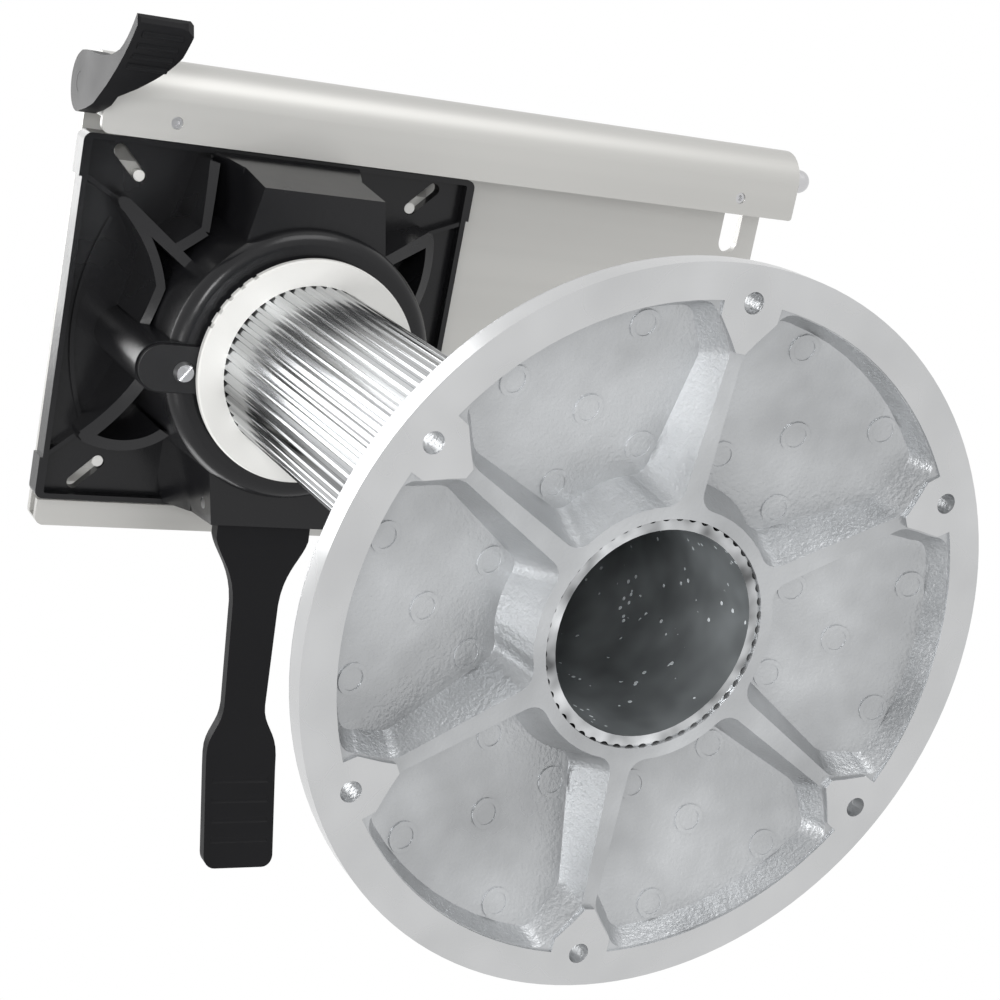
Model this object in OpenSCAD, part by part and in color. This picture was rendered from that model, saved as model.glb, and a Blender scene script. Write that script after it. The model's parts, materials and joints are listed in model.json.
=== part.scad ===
// Boat seat pedestal with a fluted post, a swivelling cast mount and a sliding seat plate.
// Millimetres. Z is up the post, Y is along the slide, and the foot stands on z = 0.

/* [Base casting] */
// Diameter of the foot
base_d = 228.6; // [222:0.1:236]
// Height of the foot's outer edge
rim_h = 10; // [8:0.1:12]
// Width of the flat rim under the foot
rim_w = 11; // [9:0.1:13]
// Turn of the bolt holes from the slide's cross direction
base_turn = 2.9; // [0:0.1:10]
// Number of bolt holes and ribs
bolt_n = 6; // [5:1:7]
// Diameter of the bolt circle
bolt_circle_d = 206.6; // [202:0.1:210]
// Diameter of a bolt hole
bolt_d = 6.6; // [5:0.1:8]
// Half width of the flat pad round a bolt hole
pad_w = 10.5; // [9:0.1:12]
// Thickness of the casting over the pockets
base_wall = 5; // [4:0.1:6]
// Depth of a pocket at the rim
pocket_rim_z = 7.6; // [6:0.1:8.5]
// Depth of a pocket at the hub
pocket_hub_z = 19; // [16:0.1:21]
// Width of a rib's crest
base_rib_w = 3.2; // [2:0.1:5]
// Height of the cast ribs above the machined face
rib_back = 0.8; // [0.5:0.1:1.5]
// Height of the cast hub ring above the machined face
hub_back = 4.2; // [3:0.1:4.8]
// Shrink of a pocket from mouth to floor, as its draft
pocket_draft = 0.74; // [0.6:0.01:0.85]
// Wall of the hub ring under the foot
hub_ring_w = 2.6; // [2:0.1:5]
// Outer diameter of the hub above the foot
hub_d = 90; // [86:0.1:96]
// Height of the hub
hub_h = 52; // [44:0.1:60]
// Diameter of the round marks that the ejectors leave
mark_d = 9.6; // [7:0.1:11]

/* [Post] */
// Outer diameter of the post over its crests
post_d = 73; // [71:0.1:74]
// Wall of the post
post_wall = 3.5; // [3:0.1:5]
// Recess of the post's lower end in the hub
post_recess = 5.2; // [3:0.1:8]
// Height of the post's top
post_top_z = 346; // [340:0.1:350]
// Number of flutes
flute_n = 50; // [40:1:56]
// Radius of a flute
flute_r = 1.7; // [1.2:0.1:2]
// Depth of a flute
flute_depth = 0.8; // [0.4:0.1:1]
// Gap between the post and the hub's bore
post_fit = 0.1; // [0.05:0.01:0.3]

/* [Bushing] */
// Length of the bushing below the post's top
bush_l = 54; // [52:0.1:57]
// Diameter of the bushing's flange
bush_flange_d = 94.6; // [93:0.1:100]
// Thickness of the bushing's flange
bush_flange_t = 3; // [2:0.1:3.4]
// Outer diameter of the bushing
bush_d = 90; // [88:0.1:91]
// Gap between the retainer tab and the bushing's flange
tab_gap = 0.6; // [0.4:0.1:1]
// Depth of the groove that the retainer tab runs in
bush_groove = 3; // [2:0.1:4]
// Number of lock holes round the bushing
lock_hole_n = 8; // [6:2:12]
// Thickness of the thrust disc on the post
disc_t = 5; // [4:0.1:6]
// Length of the disc's spigot in the post
disc_spigot = 12; // [8:0.1:20]

/* [Swivel housing] */
// Width of the housing across the slide
housing_x = 156.4; // [154:0.1:157]
// Length of the housing along the slide
housing_y = 177.8; // [172:0.1:184]
// Corner radius of the housing
housing_corner = 3.5; // [3:0.1:8]
// Height of the lip round the housing, below its web
lip_h = 5; // [4:0.1:5.5]
// Height of the web's upper face above the ceiling over the post
roof_t = 9.7; // [9:0.1:11]
// Thickness of the web
web_t = 5; // [4:0.1:6]
// Width of the lip round the rim
lip_w = 2.4; // [1.8:0.1:3.2]
// Setback of the lip along the middle of the two ends
lip_setback = 1.3; // [0.6:0.1:2]
// Outer diameter of the collar
collar_d = 115; // [111:0.1:118]
// Radius of the collar's lower edge
collar_round = 6; // [3:0.1:8]
// Running clearance between the housing and the bushing
swivel_gap = 0.1; // [0.05:0.01:0.1]
// Gap between the thrust disc and the housing's ceiling
lift_gap = 0.3; // [0.2:0.05:0.5]
// Height of the lock box's face above the collar's face
box_step = 7.2; // [6:0.1:9]
// Setback of the lock box from the housing's sides
box_setback = 6.7; // [5.5:0.1:9]
// Half width of the lock box at its ends
box_half_w = 26.5; // [25.5:0.1:28]
// Height of the ribs' crests above the collar's face, where they leave the collar
crest_step = 24.2; // [22:0.1:27]
// Rise of the crests for each millimetre outwards
crest_rise = 0.75; // [0.65:0.01:0.8]
// Width of a rib's crest
rib_w = 3.2; // [2.4:0.1:4]
// Width of the diagonal slots
slot_w = 5.6; // [5.2:0.1:7]
// Distance of a slot's outer end from the housing's sides
slot_edge = 6.6; // [6:0.1:8]
// Run of a slot along each edge
slot_run = 9.6; // [8:0.1:11]
// Diameter of the locating pegs
peg_d = 5; // [4.4:0.1:5.1]

// Diameter of the carriage screws
screw_d = 4.6; // [4:0.1:5]
// Depth of the carriage screws in the web
screw_depth = 4; // [3:0.1:4.5]
// Distance of the carriage screws from the post, across the slide
screw_x = 57; // [54:0.1:62]
// Distance of the carriage screws from the post, along the slide
screw_y = 46; // [44:0.1:50]

/* [Retainer tab] */
// Thickness of the tab
tab_t = 2.2; // [1.8:0.1:2.4]
// Radius of the tab's round end
tab_r = 9.6; // [9:0.1:11.5]
// Distance of the tab's round end from the post
tab_y = 61.2; // [60:0.1:65]
// Diameter of the slotted screw's head
tab_screw_d = 8.6; // [7:0.1:9.4]

/* [Swivel lever] */
// Distance of the pivot from the lock box's face
pivot_back = 6.5; // [5.5:0.1:7.5]
// Height of the pivot above the collar's face
pivot_step = 17.2; // [16.2:0.1:18.2]
// Diameter of the pivot pin
pivot_d = 5; // [4:0.1:6]
// Height of the lock pin above the pivot
lock_step = 17; // [16:0.1:18]
// Diameter of the lock pin
lock_d = 8; // [7:0.1:8.4]
// Distance of the lever's tip from the post
lever_reach = 217; // [200:0.1:225]
// Length of the lever's paddle
paddle_l = 45; // [40:0.1:50]
// Half width of the lever at its root
lever_root_w = 21; // [19:0.1:21.5]
// Half width of the lever's neck
lever_neck_w = 9.8; // [8:0.1:12]
// Half width of the lever's paddle
lever_paddle_w = 16; // [14:0.1:18]
// Thickness of the lever
lever_t = 5.2; // [4:0.1:6]
// Running clearance of a pin
pin_gap = 0.06; // [0.03:0.01:0.09]

/* [Seat plate] */
// Front end of the seat plate
plate_y0 = -83; // [-84:0.1:-82]
// Length of the seat plate
plate_l = 340.5; // [325:0.1:360]
// Overhang of the plate past the housing on the flat side
flat_reach = 16.8; // [16.3:0.1:18.8]
// Distance of the deep rail's centre from the housing's side
rail_reach = 16.8; // [16.4:0.1:17.2]
// Radius of the deep rail's rounded side
rail_r = 15; // [14.8:0.1:15.4]
// Drop of the deep rail's lower face below the web's upper face
rail_drop = 12; // [11.8:0.1:12.2]
// Wall of the plate and rails
plate_t = 3; // [2.6:0.1:3.2]
// Width of the deep rail's flat flange
flange_w = 16.2; // [15:0.1:16.5]
// Depth of the shallow rail
hem_h = 13; // [12.6:0.1:13.2]
// Reach of the shallow rail's flange
hem_w = 11.5; // [10:0.1:12]
// Width of the seat slots
seat_slot_w = 10.4; // [8:0.1:12]
// Length of the seat slots
seat_slot_l = 25; // [20:0.1:28]
// Distance of the seat slots from the middle
seat_slot_x = 68.5; // [60:0.1:70]
// Distance of the seat slots from the plate's ends
seat_slot_end = 15; // [12:0.1:20]
// Diameter of the adjuster screws
adjuster_d = 5.2; // [4:0.1:6]

/* [Carriage] */
// Half length of the carriage
carriage_half = 71.4; // [70.5:0.1:72]
// Thickness of the carriage plate
carriage_t = 3; // [2.6:0.1:3]
// Thickness of the glide on top of the carriage's raised edge
glide_t = 1.5; // [1.3:0.1:1.7]
// Gap between the glides and the seat plate
glide_gap = 0.3; // [0.2:0.05:0.4]
// Pitch of the lock windows
rack_pitch = 12.7; // [12:0.1:13]
// Number of lock windows
rack_n = 11; // [9:2:11]
// Thickness of the lock rack
rack_t = 2.2; // [1.8:0.1:2.4]
// Width of a lock window
window_w = 6.4; // [5.8:0.1:7]
// Diameter of the rack's screws
rack_screw_d = 3.3; // [2.6:0.1:4]

/* [Slide lock] */
// Distance of the rod from the deep rail's centre, across the slide
rod_side = 2; // [1.8:0.1:2.3]
// Height of the rod above the rail's lower face
rod_step = 8.5; // [8.3:0.1:9]
// Diameter of the rod
rod_d = 8; // [7:0.1:8.2]
// Radius that the lock dog reaches
dog_reach = 11.8; // [11.4:0.1:11.9]
// Angle of the slide lever below level
handle_drop = 63.6; // [60:0.1:66]
// Length of the slide lever
handle_l = 73; // [66:0.1:80]
// Width of the slide lever's paddle
handle_w = 23; // [18:0.1:26]
// Thickness of the slide lever's hub
handle_hub_w = 7.5; // [6:0.1:9]
// Radius of the slide lever's hub
handle_hub_r = 12; // [10:0.1:12.5]

/* [Hidden] */
$fn = 96;
EPS = 0.01;

base_r = base_d / 2;
bolt_r = bolt_circle_d / 2;
post_r = post_d / 2;
bush_r = bush_d / 2;
collar_r = collar_d / 2;
pocket_out = base_r - rim_w;
hub_ring_r = post_r + hub_ring_w;
floor_slope = (pocket_hub_z - pocket_rim_z) / (pocket_out - hub_ring_r - 6);
ceiling_z = post_top_z + disc_t + lift_gap;
web_top = ceiling_z + roof_t;
floor_z = web_top - web_t;
rim_z = floor_z - lip_h;
bush_z = post_top_z - bush_l;
groove_z = bush_z + bush_flange_t;
collar_z = groove_z + tab_t + tab_gap;
box_z = collar_z + box_step;
crest_z = collar_z + crest_step;
pivot_z = collar_z + pivot_step;
lock_z = pivot_z + lock_step;
box_reach = housing_x / 2 - box_setback;
pivot_x = box_reach - pivot_back;
slot_out = housing_x / 2 - slot_edge;
slot_in = slot_out - slot_run;
plate_flat_x = housing_x / 2 + flat_reach;
rail_x = housing_x / 2 + rail_reach;
rail_z = web_top - rail_drop;
rod_x = rail_x + rod_side;
rod_z = rail_z + rod_step;
plate_y1 = plate_y0 + plate_l;
plate_top = rail_z + 2 * rail_r;
web_under = plate_top - plate_t - 0.5;
edge_z = web_under - glide_gap - glide_t - carriage_t;
carriage_flat = slot_in + peg_d / 2 + 1.5;
carriage_knee = carriage_flat + 10;
hem_z = plate_top - hem_h;
edge_top = edge_z + carriage_t;
leg_x1 = rod_x - 8;
leg_x0 = leg_x1 - carriage_t;
leg_z = rail_z + plate_t + 5;
rack_x = leg_x1 + rack_t;
slide_travel = (rack_n - 1) * rack_pitch;
dog_y = (rack_n - 1) / 2 * rack_pitch;
stop_gap = 0.3;
nose_w = 5;
spigot_step = 0.6;
dog_hub_r = rail_r - plate_t - norm([rod_x - rail_x, rail_z + rail_r - rod_z]) - stop_gap;
box_flare = 0.19;
tab_x = -3.5;
tab_screw_x = tab_x - 1;
tab_screw_y = -bush_flange_d / 2 - tab_screw_d / 2 - 0.4;

aluminium = [0.74, 0.74, 0.73];
cast = [0.62, 0.63, 0.64];
black = [0.07, 0.07, 0.08];
nylon = [0.93, 0.93, 0.91];
steel = [0.7, 0.7, 0.72];

// Floor of a pocket at radius r
function floor_at(r) = pocket_rim_z + (pocket_out - r) * floor_slope;
// Points on an arc
function arc(c, r, a0, a1, n) = [for (i = [0:n]) c + r * [cos(a0 + (a1 - a0) * i / n), sin(a0 + (a1 - a0) * i / n)]];
// Points on a cubic curve
function curve(a, b, c, d, n) = [for (i = [0:n]) let (t = i / n, u = 1 - t)
    u * u * u * a + 3 * u * u * t * b + 3 * u * t * t * c + t * t * t * d];

// Rounded rectangle about the origin
module round_rect(x, y, r) {
    polygon([for (q = [[1, 1, 0], [-1, 1, 90], [-1, -1, 180], [1, -1, 270]])
        each arc([q[0] * (x / 2 - r), q[1] * (y / 2 - r)], r, q[2], q[2] + 90, 8)]);
}

// Slot with round ends between two points
module slot_2d(p, q, w) {
    d = q - p;
    translate(p) circle(d = w);
    translate(q) circle(d = w);
    translate(p) rotate(atan2(d[1], d[0])) translate([0, -w / 2]) square([norm(d), w]);
}

// Slot with round ends between two points, as a polygon
module slot_polygon(p, q, w) {
    a = atan2(q[1] - p[1], q[0] - p[0]);
    polygon(concat(arc(q, w / 2, a - 90, a + 90, 10), arc(p, w / 2, a + 90, a + 270, 10)));
}

// Turns a drawing of x against z into a solid from y0 to y1
module along_y(y0, y1) {
    translate([0, y1, 0]) rotate([90, 0, 0]) linear_extrude(y1 - y0) children();
}

// Round bar along Y
module bar_y(x, z, r, y0, y1) {
    translate([x, y0, z]) rotate([-90, 0, 0]) cylinder(r = r, h = y1 - y0);
}

// Curved wall from p to q, bulging to the left by sag, narrower at its crest
module arc_wall(p, q, sag, w, z0, z1) {
    a = sag > 0 ? p : q;
    b = sag > 0 ? q : p;
    s = abs(sag);
    d = b - a;
    c = norm(d);
    r = (c * c / 4 + s * s) / (2 * s);
    centre = (a + b) / 2 + [d[1], -d[0]] / c * (r - s);
    turn = 2 * asin(c / 2 / r);
    start = atan2(b[1] - centre[1], b[0] - centre[0]);
    wide = w + 0.06 * (z1 - z0);
    translate([centre[0], centre[1], 0]) rotate(start) rotate_extrude(angle = turn)
        polygon([[r - w / 2, z0], [r + w / 2, z0], [r + wide / 2, z1], [r - wide / 2, z1]]);
}

// Straight wall from p to q, narrower at its crest
module line_wall(p, q, w, z0, z1) {
    d = q - p;
    wide = w + 0.06 * (z1 - z0);
    translate([p[0], p[1], 0]) rotate(atan2(d[1], d[0])) rotate([90, 0, 90]) linear_extrude(norm(d))
        polygon([[-w / 2, z0], [w / 2, z0], [wide / 2, z1], [-wide / 2, z1]]);
}

// Flat pad round a bolt hole, which runs out into the rib
module bolt_pad() {
    polygon(concat([[base_r, -pad_w], [bolt_r - 5, -pad_w + 0.8], [bolt_r - 11, -base_rib_w / 2 - 3]],
        [[bolt_r - 15, -base_rib_w / 2], [bolt_r - 15, base_rib_w / 2]],
        [[bolt_r - 11, base_rib_w / 2 + 3], [bolt_r - 5, pad_w - 0.8], [base_r, pad_w]]));
}

// Mouth of one pocket, with a rib along each side and a pad at each outer corner
module pocket_outline() {
    half = 180 / bolt_n;
    offset(r = -3, $fn = 24) offset(r = 9, $fn = 24) offset(r = -6, $fn = 24) difference() {
        intersection() {
            difference() {
                circle(r = pocket_out, $fn = 72);
                circle(r = hub_ring_r, $fn = 48);
            }
            polygon([[0, 0], 2 * base_r * [cos(half), -sin(half)], 2 * base_r * [cos(half), sin(half)]]);
        }
        for (s = [-1, 1]) rotate(s * half) {
            translate([0, -base_rib_w / 2]) square([base_r, base_rib_w]);
            bolt_pad();
        }
    }
}

// Round mark on a pocket's floor, at radius r and angle a, square to the floor
module ejector_mark(r, a) {
    rotate(a) translate([r, 0, floor_at(r)]) rotate([0, atan(floor_slope), 0]) difference() {
        translate([0, 0, -0.5]) cylinder(d = mark_d, h = 2);
        translate([0, 0, -1]) cylinder(d = mark_d - 2.6, h = 0.8);
    }
}

// The round marks of one pocket
module ejector_marks() {
    half = 180 / bolt_n;
    for (s = [-1, 1]) {
        ejector_mark(bolt_r - 47.5, s * half / 2);
        ejector_mark(bolt_r - 8.2, s * half * 0.43);
    }
    ejector_mark(bolt_r - 30, 0);
}

// One pocket: the drafted mouth down to the sloping floor
module pocket() {
    middle = (pocket_out + hub_ring_r) / 2 + 3;
    intersection() {
        translate([middle, 0, 0]) linear_extrude(pocket_hub_z + 3, scale = pocket_draft)
            translate([-middle, 0]) pocket_outline();
        rotate_extrude() polygon([[0, -1], [base_r, -1], [base_r, floor_at(base_r)],
            [hub_ring_r + 6, pocket_hub_z], [0, pocket_hub_z]]);
    }
}

module base_casting() {
    hub_r = hub_d / 2;
    foot_r = hub_r + 12;
    foot_z = floor_at(foot_r) + base_wall;
    color(cast) {
        difference() {
            rotate_extrude($fn = 180) polygon(concat([[0, 0], [base_r, 0]],
                arc([base_r - 2.5, rim_h - 2.5], 2.5, 0, 80, 5),
                [[pocket_out, floor_at(pocket_out) + base_wall]],
                arc([foot_r, foot_z + 11], 11, 260, 184, 8),
                [[hub_r, hub_h - 2], [hub_r - 2, hub_h], [0, hub_h]]));
            translate([0, 0, -1]) cylinder(r = post_r + post_fit, h = hub_h + 2);
            for (i = [0:bolt_n - 1]) rotate(base_turn + (i + 0.5) * 360 / bolt_n) pocket();
            difference() {
                rotate_extrude() polygon([[0, -1], [pocket_out, -1], [pocket_out, rib_back],
                    [hub_ring_r, hub_back], [0, hub_back]]);
                for (i = [0:bolt_n - 1]) rotate(base_turn + i * 360 / bolt_n)
                    translate([0, 0, -2]) linear_extrude(hub_back + 3) bolt_pad();
            }
            for (i = [0:bolt_n - 1]) rotate(base_turn + i * 360 / bolt_n)
                translate([bolt_r, 0, -1]) cylinder(d = bolt_d, h = 3 * rim_h);
        }
        for (i = [0:bolt_n - 1]) rotate(base_turn + (i + 0.5) * 360 / bolt_n) ejector_marks();
    }
}

module post_tube() {
    color(aluminium) difference() {
        translate([0, 0, post_recess]) linear_extrude(post_top_z - post_recess) difference() {
            circle(r = post_r, $fn = 200);
            circle(r = post_r - post_wall);
            for (i = [0:flute_n - 1]) rotate(i * 360 / flute_n)
                translate([post_r - flute_depth + flute_r, 0]) circle(r = flute_r, $fn = 24);
        }
        translate([0, 0, post_top_z - disc_spigot - 0.3])
            cylinder(r = post_r - post_wall + spigot_step, h = disc_spigot + 1);
    }
}

module swivel_bushing() {
    top = post_top_z - 1;
    color(nylon) difference() {
        rotate_extrude() polygon([[post_r + EPS, bush_z], [bush_flange_d / 2 - 0.6, bush_z],
            [bush_flange_d / 2, bush_z + 0.6], [bush_flange_d / 2, groove_z],
            [bush_r - bush_groove, groove_z], [bush_r - bush_groove, collar_z + 0.5],
            [bush_r, collar_z + 0.5], [bush_r, top], [post_r + EPS, top]]);
        for (i = [0:lock_hole_n - 1]) rotate(i * 360 / lock_hole_n)
            translate([0, 0, lock_z]) rotate([0, -90, 0]) cylinder(d = lock_d + 1, h = bush_r + 5);
        for (i = [0:4]) rotate(-70 + 8 * i)
            translate([bush_flange_d / 2 - 0.6, -1, bush_z - 1]) cube([3, 2, bush_flange_t + 2]);
    }
}

module thrust_disc() {
    color(nylon) translate([0, 0, post_top_z]) {
        cylinder(r = bush_r - 1, h = disc_t);
        translate([0, 0, -disc_spigot]) cylinder(r = post_r - post_wall + spigot_step - 0.1, h = disc_spigot + 1);
    }
}

// Half width of the lock box at a distance from the post
function box_w_at(x) = box_half_w + (box_reach - x) * box_flare;

module lock_box() {
    intersection() {
        linear_extrude(web_top) polygon([[-box_reach - 8, -box_w_at(box_reach + 8) - 7],
            [-20, -box_w_at(20) - 7], [20, -box_w_at(20) - 7], [box_reach + 8, -box_w_at(box_reach + 8) - 7],
            [box_reach + 8, box_w_at(box_reach + 8) + 7], [20, box_w_at(20) + 7],
            [-20, box_w_at(20) + 7], [-box_reach - 8, box_w_at(box_reach + 8) + 7]]);
        along_y(-60, 60) polygon([[-box_reach, box_z], [box_reach, box_z],
            [box_reach + 6, floor_z], [-box_reach - 6, floor_z]]);
        union() {
            linear_extrude(floor_z) polygon([[-box_reach - 8, -box_w_at(box_reach + 8)], [-20, -box_w_at(20)],
                [20, -box_w_at(20)], [box_reach + 8, -box_w_at(box_reach + 8)],
                [box_reach + 8, box_w_at(box_reach + 8)], [20, box_w_at(20)], [-20, box_w_at(20)],
                [-box_reach - 8, box_w_at(box_reach + 8)]]);
            rotate([90, 0, 90]) translate([0, 0, -100]) linear_extrude(200)
                polygon([[-box_half_w, floor_z - 24], [-box_half_w - 8, floor_z], [box_half_w + 8, floor_z],
                    [box_half_w, floor_z - 24]]);
        }
    }
}

// Round boss and block under the retainer tab
module tab_seat(r, z0, z1) {
    translate([tab_x, -tab_y, z0]) cylinder(r = r, h = z1 - z0);
    translate([tab_x - r, -tab_y, z0]) cube([2 * r, tab_y - bush_r - 4, z1 - z0]);
}

module housing_ribs() {
    top = floor_z + 1;
    tip = [52, 68];
    far = [-47.5, 73];
    // Corner beside the rail, clear of the tab: two walls that meet in a leaf
    line_wall([42, 36], tip, rib_w, box_z, top);
    arc_wall([19, 52.4], tip - [0.3, 0.2], 4.3, rib_w, box_z, top);
    // Corner beside the rail and the tab: a straight wall, its gusset, and a thin wall back to the tab's boss
    line_wall([33, -46], [tip[0] + 0.4, -tip[1] - 2.4], rib_w, box_z, top);
    line_wall([38, -52.4], [47.5, -41], rib_w - 1, box_z, top);
    line_wall([47.5, -41], [74, -36], rib_w - 1.4, box_z, top);
    arc_wall(tip - [0, 2 * tip[1] + 2.4], [23, -56.6], -2.5, rib_w - 1.2, box_z, top);
    line_wall([23.4, -56.4], [tab_x + 10, -tab_y], rib_w - 1.2, box_z, top);
    // The two corners on the flat side
    for (s = [-1, 1]) {
        arc_wall([far[0], s * far[1]], [-17, s * 58.8], -s, rib_w, box_z, top);
        arc_wall([far[0], s * far[1]], [-38, s * 46], s * -5.5, rib_w, box_z, top);
    }
    translate([tip[0], tip[1], box_z]) cylinder(r = rib_w / 2 + 0.6, h = top - box_z);
    translate([tip[0] + 0.4, -tip[1] - 2.4, box_z]) cylinder(r = rib_w / 2 + 0.6, h = top - box_z);
    for (s = [-1, 1]) translate([far[0], s * far[1], box_z]) cylinder(r = rib_w / 2 + 0.6, h = top - box_z);
}

module swivel_housing() {
    thin = 1.8;
    edge_y = housing_y / 2 - 1;
    cavity_w = lever_root_w + 1.2;
    color(black) difference() {
        union() {
            translate([0, 0, floor_z]) linear_extrude(web_t) round_rect(housing_x, housing_y, housing_corner);
            translate([0, 0, rim_z]) linear_extrude(floor_z - rim_z + 1) difference() {
                round_rect(housing_x, housing_y, housing_corner);
                round_rect(housing_x - 2 * lip_w, housing_y - 2 * lip_w - 2 * lip_setback, housing_corner - lip_w);
            }
            rotate_extrude() polygon(concat([[0, collar_z], [collar_r - collar_round, collar_z]],
                arc([collar_r - collar_round, collar_z + collar_round], collar_round, -80, 0, 5),
                [[collar_r + 2.5, floor_z + 1], [0, floor_z + 1]]));
            lock_box();
            tab_seat(tab_r + 1, collar_z, floor_z + 1);
            intersection() {
                housing_ribs();
                rotate_extrude() polygon([[0, crest_z - collar_r * crest_rise],
                    [140, crest_z + (140 - collar_r) * crest_rise], [0, crest_z + (140 - collar_r) * crest_rise]]);
            }
            line_wall([51, 67], [59.5, edge_y], thin, rim_z + 0.6, floor_z + 1);
            line_wall([51, -69], [61.5, -edge_y], thin, rim_z + 0.6, floor_z + 1);
            for (s = [-1, 1])
                line_wall([-47, s * 72], [-60.5, s * edge_y], thin, rim_z + 0.6, floor_z + 1);
            arc_wall([44, -71.5], [-44, -72], 9.7, thin, floor_z - 1.4, floor_z + 1);
        }
        for (sy = [-1, 1]) translate([-60, sy * (housing_y / 2 - lip_setback) - (sy > 0 ? 0 : 4), rim_z - 1])
            cube([120, 4, floor_z - rim_z + web_t + 3]);
        translate([0, 0, collar_z - 1]) cylinder(r = bush_r + swivel_gap, h = ceiling_z - collar_z + 1);
        translate([0, 0, floor_z - 1]) linear_extrude(web_t + 2) for (sx = [-1, 1], sy = [-1, 1])
            slot_polygon([sx * slot_in, sy * slot_in], [sx * slot_out, sy * slot_out], slot_w);
        along_y(-cavity_w, cavity_w) polygon([[-collar_r - 0.2, box_z + 3.4], [-collar_r - 0.2, lock_z + 6],
            [-box_reach - 12, lock_z + 6], [-box_reach - 12, box_z + 3.4]]);
        translate([-collar_r - 5, 0, lock_z]) rotate([0, 90, 0])
            cylinder(d = lock_d + 2 * pin_gap, h = collar_r - bush_r + 6);
        along_y(-nose_w - 0.6, nose_w + 0.6) polygon([[-collar_r - 1, lock_z - 15], [-collar_r + 4.6, lock_z - 15],
            [-collar_r + 4.6, lock_z + 2.6], [-collar_r - 1, lock_z + 2.6]]);
        bar_y(-pivot_x, pivot_z, pivot_d / 2, -40, 40);
        translate([tab_screw_x, tab_screw_y, collar_z - 1]) cylinder(d = 4, h = 14);
        for (sx = [-1, 1], sy = [-1, 1]) translate([sx * screw_x, sy * screw_y, web_top - screw_depth - 0.1])
            cylinder(d = screw_d + 2 * EPS, h = screw_depth + 1);
    }
}

module retainer_tab() {
    color(black) translate([0, 0, collar_z - tab_t]) difference() {
        union() {
            translate([tab_x, -tab_y, 0]) cylinder(r = tab_r, h = tab_t);
            translate([tab_x - tab_r, -tab_y, 0]) cube([2 * tab_r, tab_y - bush_r + bush_groove - 0.5, tab_t]);
        }
        cylinder(r = bush_r - bush_groove + 0.5, h = 3 * tab_t, center = true);
        translate([tab_screw_x, tab_screw_y, -1]) cylinder(d = 4.1, h = tab_t + 2);
    }
}

module retainer_screw() {
    head = 2.4;
    color(steel) translate([tab_screw_x, tab_screw_y, collar_z - tab_t]) difference() {
        union() {
            translate([0, 0, -head]) cylinder(r1 = tab_screw_d / 2 - 0.8, r2 = tab_screw_d / 2, h = head);
            translate([0, 0, -0.5]) cylinder(d = 3.9, h = 12);
        }
        rotate(35) translate([-6, -0.6, -head - 1]) cube([12, 1.2, 2]);
    }
}

module lever_pin() {
    half = box_w_at(pivot_x) - 0.2;
    color(steel) bar_y(-pivot_x, pivot_z, pivot_d / 2 - EPS, -half, half);
}

// Close-wound coil round the pivot pin
module lever_spring() {
    wire = 1.4;
    turns = 6;
    color(steel) translate([-pivot_x, 7.8, pivot_z]) rotate([-90, 0, 0]) rotate_extrude($fn = 48) {
        for (i = [0:turns - 1]) translate([pivot_d / 2 + 0.2 + wire / 2, wire * (i + 0.5)]) circle(d = wire, $fn = 20);
        translate([pivot_d / 2 + 0.2 + wire / 4, wire / 2]) square([wire / 2, wire * (turns - 1)]);
    }
}

// Outline of the swivel lever seen from above, as distance from the post against half width
function lever_side() = concat([[pivot_x - 5, lever_root_w], [pivot_x + 13, lever_root_w]],
    curve([pivot_x + 14, lever_root_w], [pivot_x + 22, lever_root_w - 2], [pivot_x + 27, lever_neck_w + 1.5],
        [pivot_x + 42, lever_neck_w + 0.6], 9),
    curve([lever_reach - paddle_l - 21, lever_neck_w - 0.4], [lever_reach - paddle_l - 12, lever_neck_w - 0.4],
        [lever_reach - paddle_l - 10, lever_paddle_w - 0.2], [lever_reach - paddle_l, lever_paddle_w], 8),
    arc([lever_reach - 5, lever_paddle_w - 5.2], 5, 90, 0, 6));

module swivel_lever() {
    side = lever_side();
    n = len(side);
    bend = lever_reach - paddle_l - 4;
    t = lever_t / 2;
    nose = [-pivot_x + 3, lock_z - 2];
    color(black) difference() {
        union() {
            intersection() {
                translate([0, 0, box_z - 60]) linear_extrude(100) polygon(concat([for (p = side) [-p[0], p[1]]],
                    [for (i = [n - 1:-1:0]) [-side[i][0], -side[i][1]]]));
                along_y(-30, 30) polygon([[-pivot_x + 5, pivot_z + 3.5], [-pivot_x - 8, pivot_z + 3.2],
                    [-pivot_x - 42, pivot_z - 6 + t], [-bend + 14, pivot_z - 13.5 + t], [-bend, pivot_z - 17 + t],
                    [-bend - 10, pivot_z - 20.3 + t], [-lever_reach - 1, pivot_z - 35.5 + t],
                    [-lever_reach - 1, pivot_z - 35.5 - t], [-bend - 10, pivot_z - 20.3 - t],
                    [-bend, pivot_z - 17 - t], [-bend + 14, pivot_z - 13.5 - t],
                    [-pivot_x - 42, pivot_z - 6 - t], [-pivot_x - 8, pivot_z - 4], [-pivot_x + 5, pivot_z - 3.5]]);
            }
            bar_y(-pivot_x, pivot_z, 5.4, -lever_root_w, lever_root_w);
            along_y(-nose_w, nose_w) polygon([[-pivot_x - 4.5, pivot_z], [-pivot_x + 4.5, pivot_z], nose + [3, 0], nose - [3, 0]]);
            bar_y(nose[0], nose[1], 3, -nose_w, nose_w);
        }
        bar_y(-pivot_x, pivot_z, pivot_d / 2 + pin_gap, -40, 40);
        translate([-pivot_x - 6.4, 7.2, pivot_z - 8]) cube([14, 9.6, 16]);
        for (i = [0:3]) bar_y(-lever_reach + 12 + 8 * i, pivot_z - 35.5 - t + (12 + 8 * i) * 0.385 - 2.1, 2.6,
            -lever_paddle_w + 3, lever_paddle_w - 3);
    }
}

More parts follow.
